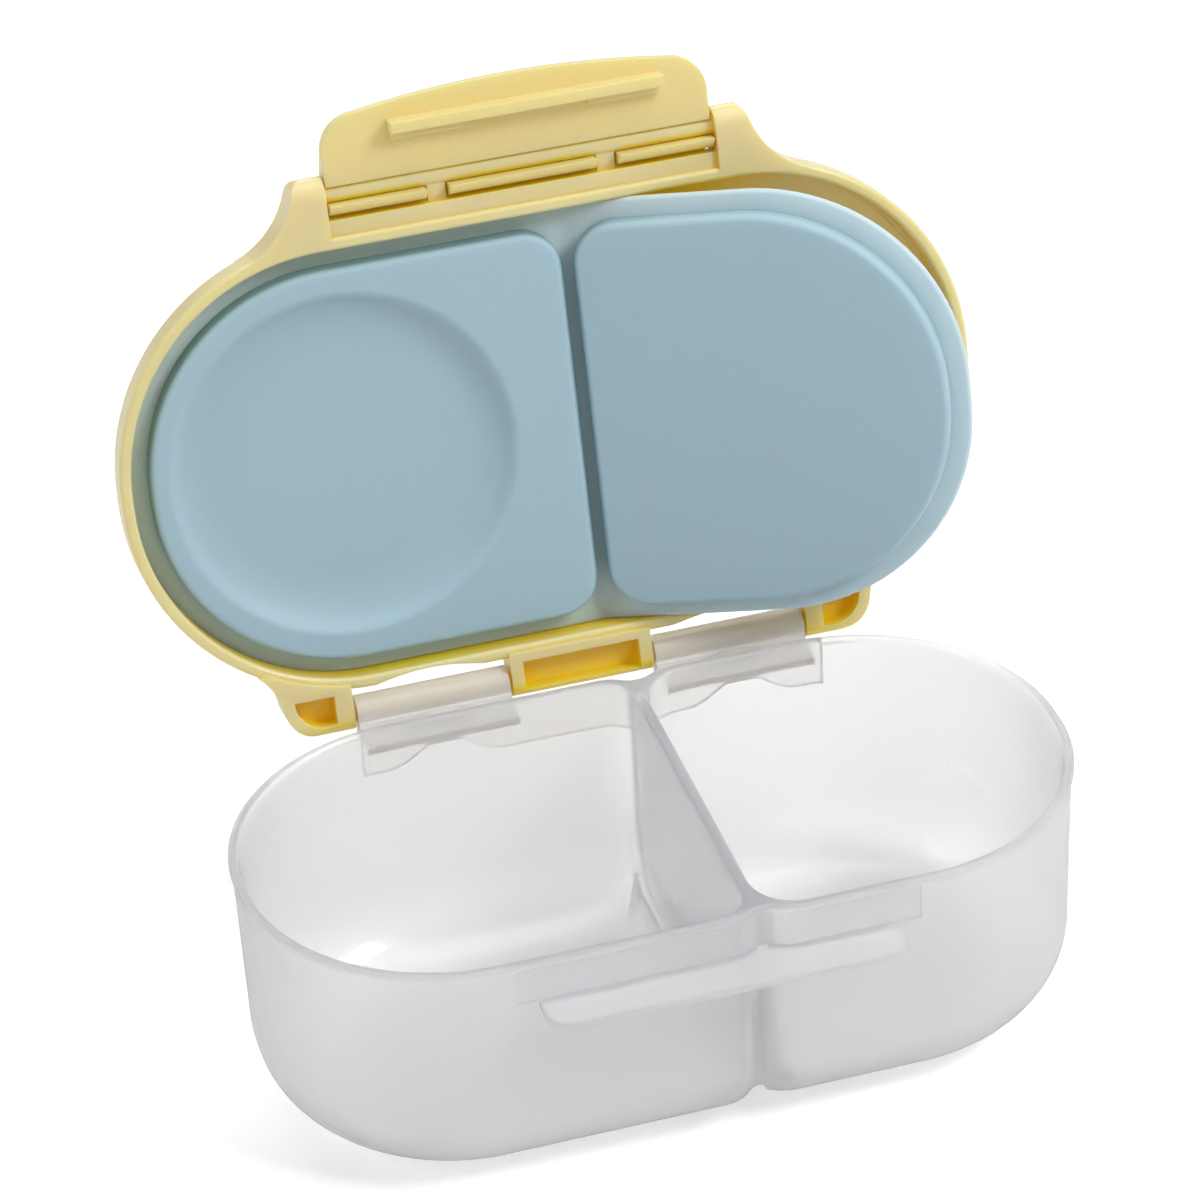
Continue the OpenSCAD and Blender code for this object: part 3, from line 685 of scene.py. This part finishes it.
def d_outline(x0, x1, half, r0, r1):
    """Rounded outline between two ends with their own corner radii, as a function of inset."""
    def outline(inset):
        first = max(r0 - inset, 0.4)
        last = max(r1 - inset, 0.4)
        left, right, top = x0 + inset, x1 - inset, half - inset
        ring = []
        for x, y, radius, start in ((right - last, top - last, last, 0),
                                    (left + first, top - first, first, 90),
                                    (left + first, first - top, first, 180),
                                    (right - last, last - top, last, 270)):
            turn = arc((x, y), radius, start, start + 90, 24)
            if ring:
                ring += line(ring[-1], turn[0], 12)
            ring += turn
        return ring + line(ring[-1], ring[0], 12)
    return outline


def smoothstep(t):
    """A smooth rise from 0 to 1."""
    t = min(max(t, 0.0), 1.0)
    return t * t * (3 - 2 * t)


def pad_side(outline):
    """Rings from a pad's face round its lower edge and up to its root in the flange."""
    rings = []
    for i in range(7):
        a = math.radians(15 * i)
        z = pad_face + pad_edge * (1 - math.cos(a))
        rings.append([(x, y, z) for x, y in outline(pad_edge * (1 - math.sin(a)))])
    return rings + [[(x, y, pad_root) for x, y in outline(0)]]


large_outline = d_outline(pad_left, groove_left, pad_half, 41.9, 9.0)
small_outline = d_outline(groove_right, pad_right, pad_half, 9.5, 41.9)
flange_outline = d_outline(-half_length - flange_over, half_length + flange_over,
                           half_width + flange_over, end_radius, end_radius)
seal = plate("seal_body", flange_outline, flange_low, flange_high, flange_edge)

# The large pad's face runs into its dish through rings that turn from the pad's outline to a circle
dish_x = -45.5
dish_y = -0.5
dish_radius = 38.5
dish_wall = 13.0
dish_depth = 4.6
dish_rings = 40


def dish_rise(t):
    """The dish from its rim, 0, to its floor, 1: soft at the rim, then steep, then level."""
    t = min(max(t, 0.0), 1.0)
    return (1 - (1 - t) ** 2.5) * smoothstep(4 * t)


rim = large_outline(pad_edge)
rays = [Vector((x - dish_x, y - dish_y)) for x, y in rim]
rings = []
for i in range(dish_rings):
    radius = dish_radius * (i + 0.6) / dish_rings
    z = pad_face + dish_depth * dish_rise((dish_radius - radius) / dish_wall)
    rings.append([(dish_x + ray.x / ray.length * radius, dish_y + ray.y / ray.length * radius, z)
                  for ray in rays])
for share in (0.0, 0.25, 0.5, 0.75):
    ring = []
    for ray in rays:
        radius = dish_radius + (ray.length - dish_radius) * share
        ring.append((dish_x + ray.x / ray.length * radius, dish_y + ray.y / ray.length * radius, pad_face))
    rings.append(ring)
combine(seal, lofted("large_pad", rings + pad_side(large_outline)), "UNION")

# The small pad's face is very slightly crowned
crown_rise = 0.25
small_middle = (groove_right + pad_right) / 2
rings = []
for i in range(7):
    share = 0.02 + 0.14 * i
    z = pad_face + crown_rise * share ** 2 - crown_rise
    rings.append([(small_middle + (x - small_middle) * share, y * share, z)
                  for x, y in small_outline(pad_edge)])
combine(seal, lofted("small_pad", rings + pad_side(small_outline)), "UNION")

# Cuts across the bend, so that it curves smoothly, and the bend itself. The thin flange is
# marked as the second material, whose paler colour is painted light.
bend_steps = 24
shape = bmesh.new()
shape.from_mesh(seal.data)
for i in range(bend_steps + 1):
    x = (bend_start + (bend_stop - bend_start) * i / bend_steps) * MM
    bmesh.ops.bisect_plane(shape, geom=shape.verts[:] + shape.edges[:] + shape.faces[:],
                           plane_co=(x, 0, 0), plane_no=(1, 0, 0))
for face in shape.faces:
    face.material_index = 1 if face.calc_center_median().z / MM > flange_low - 0.02 else 0
for vertex in shape.verts:
    flat = vertex.co / MM
    hanging = end_turn @ (flat - bend_point) + bend_point
    share = smoothstep((flat.x - bend_start) / (bend_stop - bend_start))
    vertex.co = in_open_lid(flat.lerp(hanging, share)) * MM
shape.to_mesh(seal.data)
shape.free()
smooth(seal, 50)
seal.name = "silicone_seal"


def silicone(name, open_color, painted_hollow_color, hollow_below, open_above):
    """Soft satin rubber that lets some light through, with painted shade in its hollows."""
    rubber = skinned(name, 0.0012, 0.000006, 0.58, 0.46, 0.0002)
    with_painted_hollow_shade(rubber, open_color, painted_hollow_color, 0.014, hollow_below, open_above)
    shader = rubber.node_tree.nodes["Principled BSDF"]
    shader.inputs["IOR"].default_value = 1.41
    shader.inputs["Sheen Weight"].default_value = 0.15
    shader.inputs["Sheen Roughness"].default_value = 0.4
    shader.inputs["Subsurface Weight"].default_value = 0.6
    shader.inputs["Subsurface Radius"].default_value = (0.5, 0.8, 1.0)
    shader.inputs["Subsurface Scale"].default_value = 0.004
    return rubber


# The pads are thick and blue; the thin flange is paler, a painted light for light passing through it
seal.data.materials.append(silicone(
    "pale_blue_silicone", (0.43, 0.59, 0.66), (0.17, 0.33, 0.39), 0.3, 0.97))
seal.data.materials.append(silicone(
    "thin_silicone_painted_light", (0.60, 0.72, 0.77), (0.44, 0.64, 0.68), 0.0, 0.6))
hanging_stop = end_turn @ (Vector((bend_stop, 0, flange_low)) - bend_point) + bend_point
in_open_lid((bend_start, 0, flange_low)) * MM
in_open_lid(hanging_stop) * MM
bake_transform(seal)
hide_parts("seal", "seal_end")

# Front lip of the lid's top: it runs out over the latch's hooks, of the same moulding as the lid,
# and closes the slots beside them from above.
lip_half = 42.2
lip_out = 55.7
lip_back = 47.0
lip_low = 61.85
lip_high = 62.46
lip_edge = 0.28


def lip_outline(inset):
    """Outline of the lip seen from above, on the shut lid."""
    side = lip_half - inset
    front = inset - lip_out
    return [(-side, -lip_back), (-side, front), (side, front), (side, -lip_back)]


lip = plate("lid_front_lip", lip_outline, lip_low, lip_high, lip_edge)
for vertex in lip.data.vertices:
    vertex.co = in_open_lid(vertex.co / MM) * MM
smooth(lip, 40)
lip_plastic = lid_plastic.copy()
lip_plastic.name = "pale_yellow_lip"
lip_plastic.node_tree.nodes["Principled BSDF"].inputs["Subsurface Weight"].default_value = 0.1
lip.data.materials.append(lip_plastic)
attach(lip, "lid")
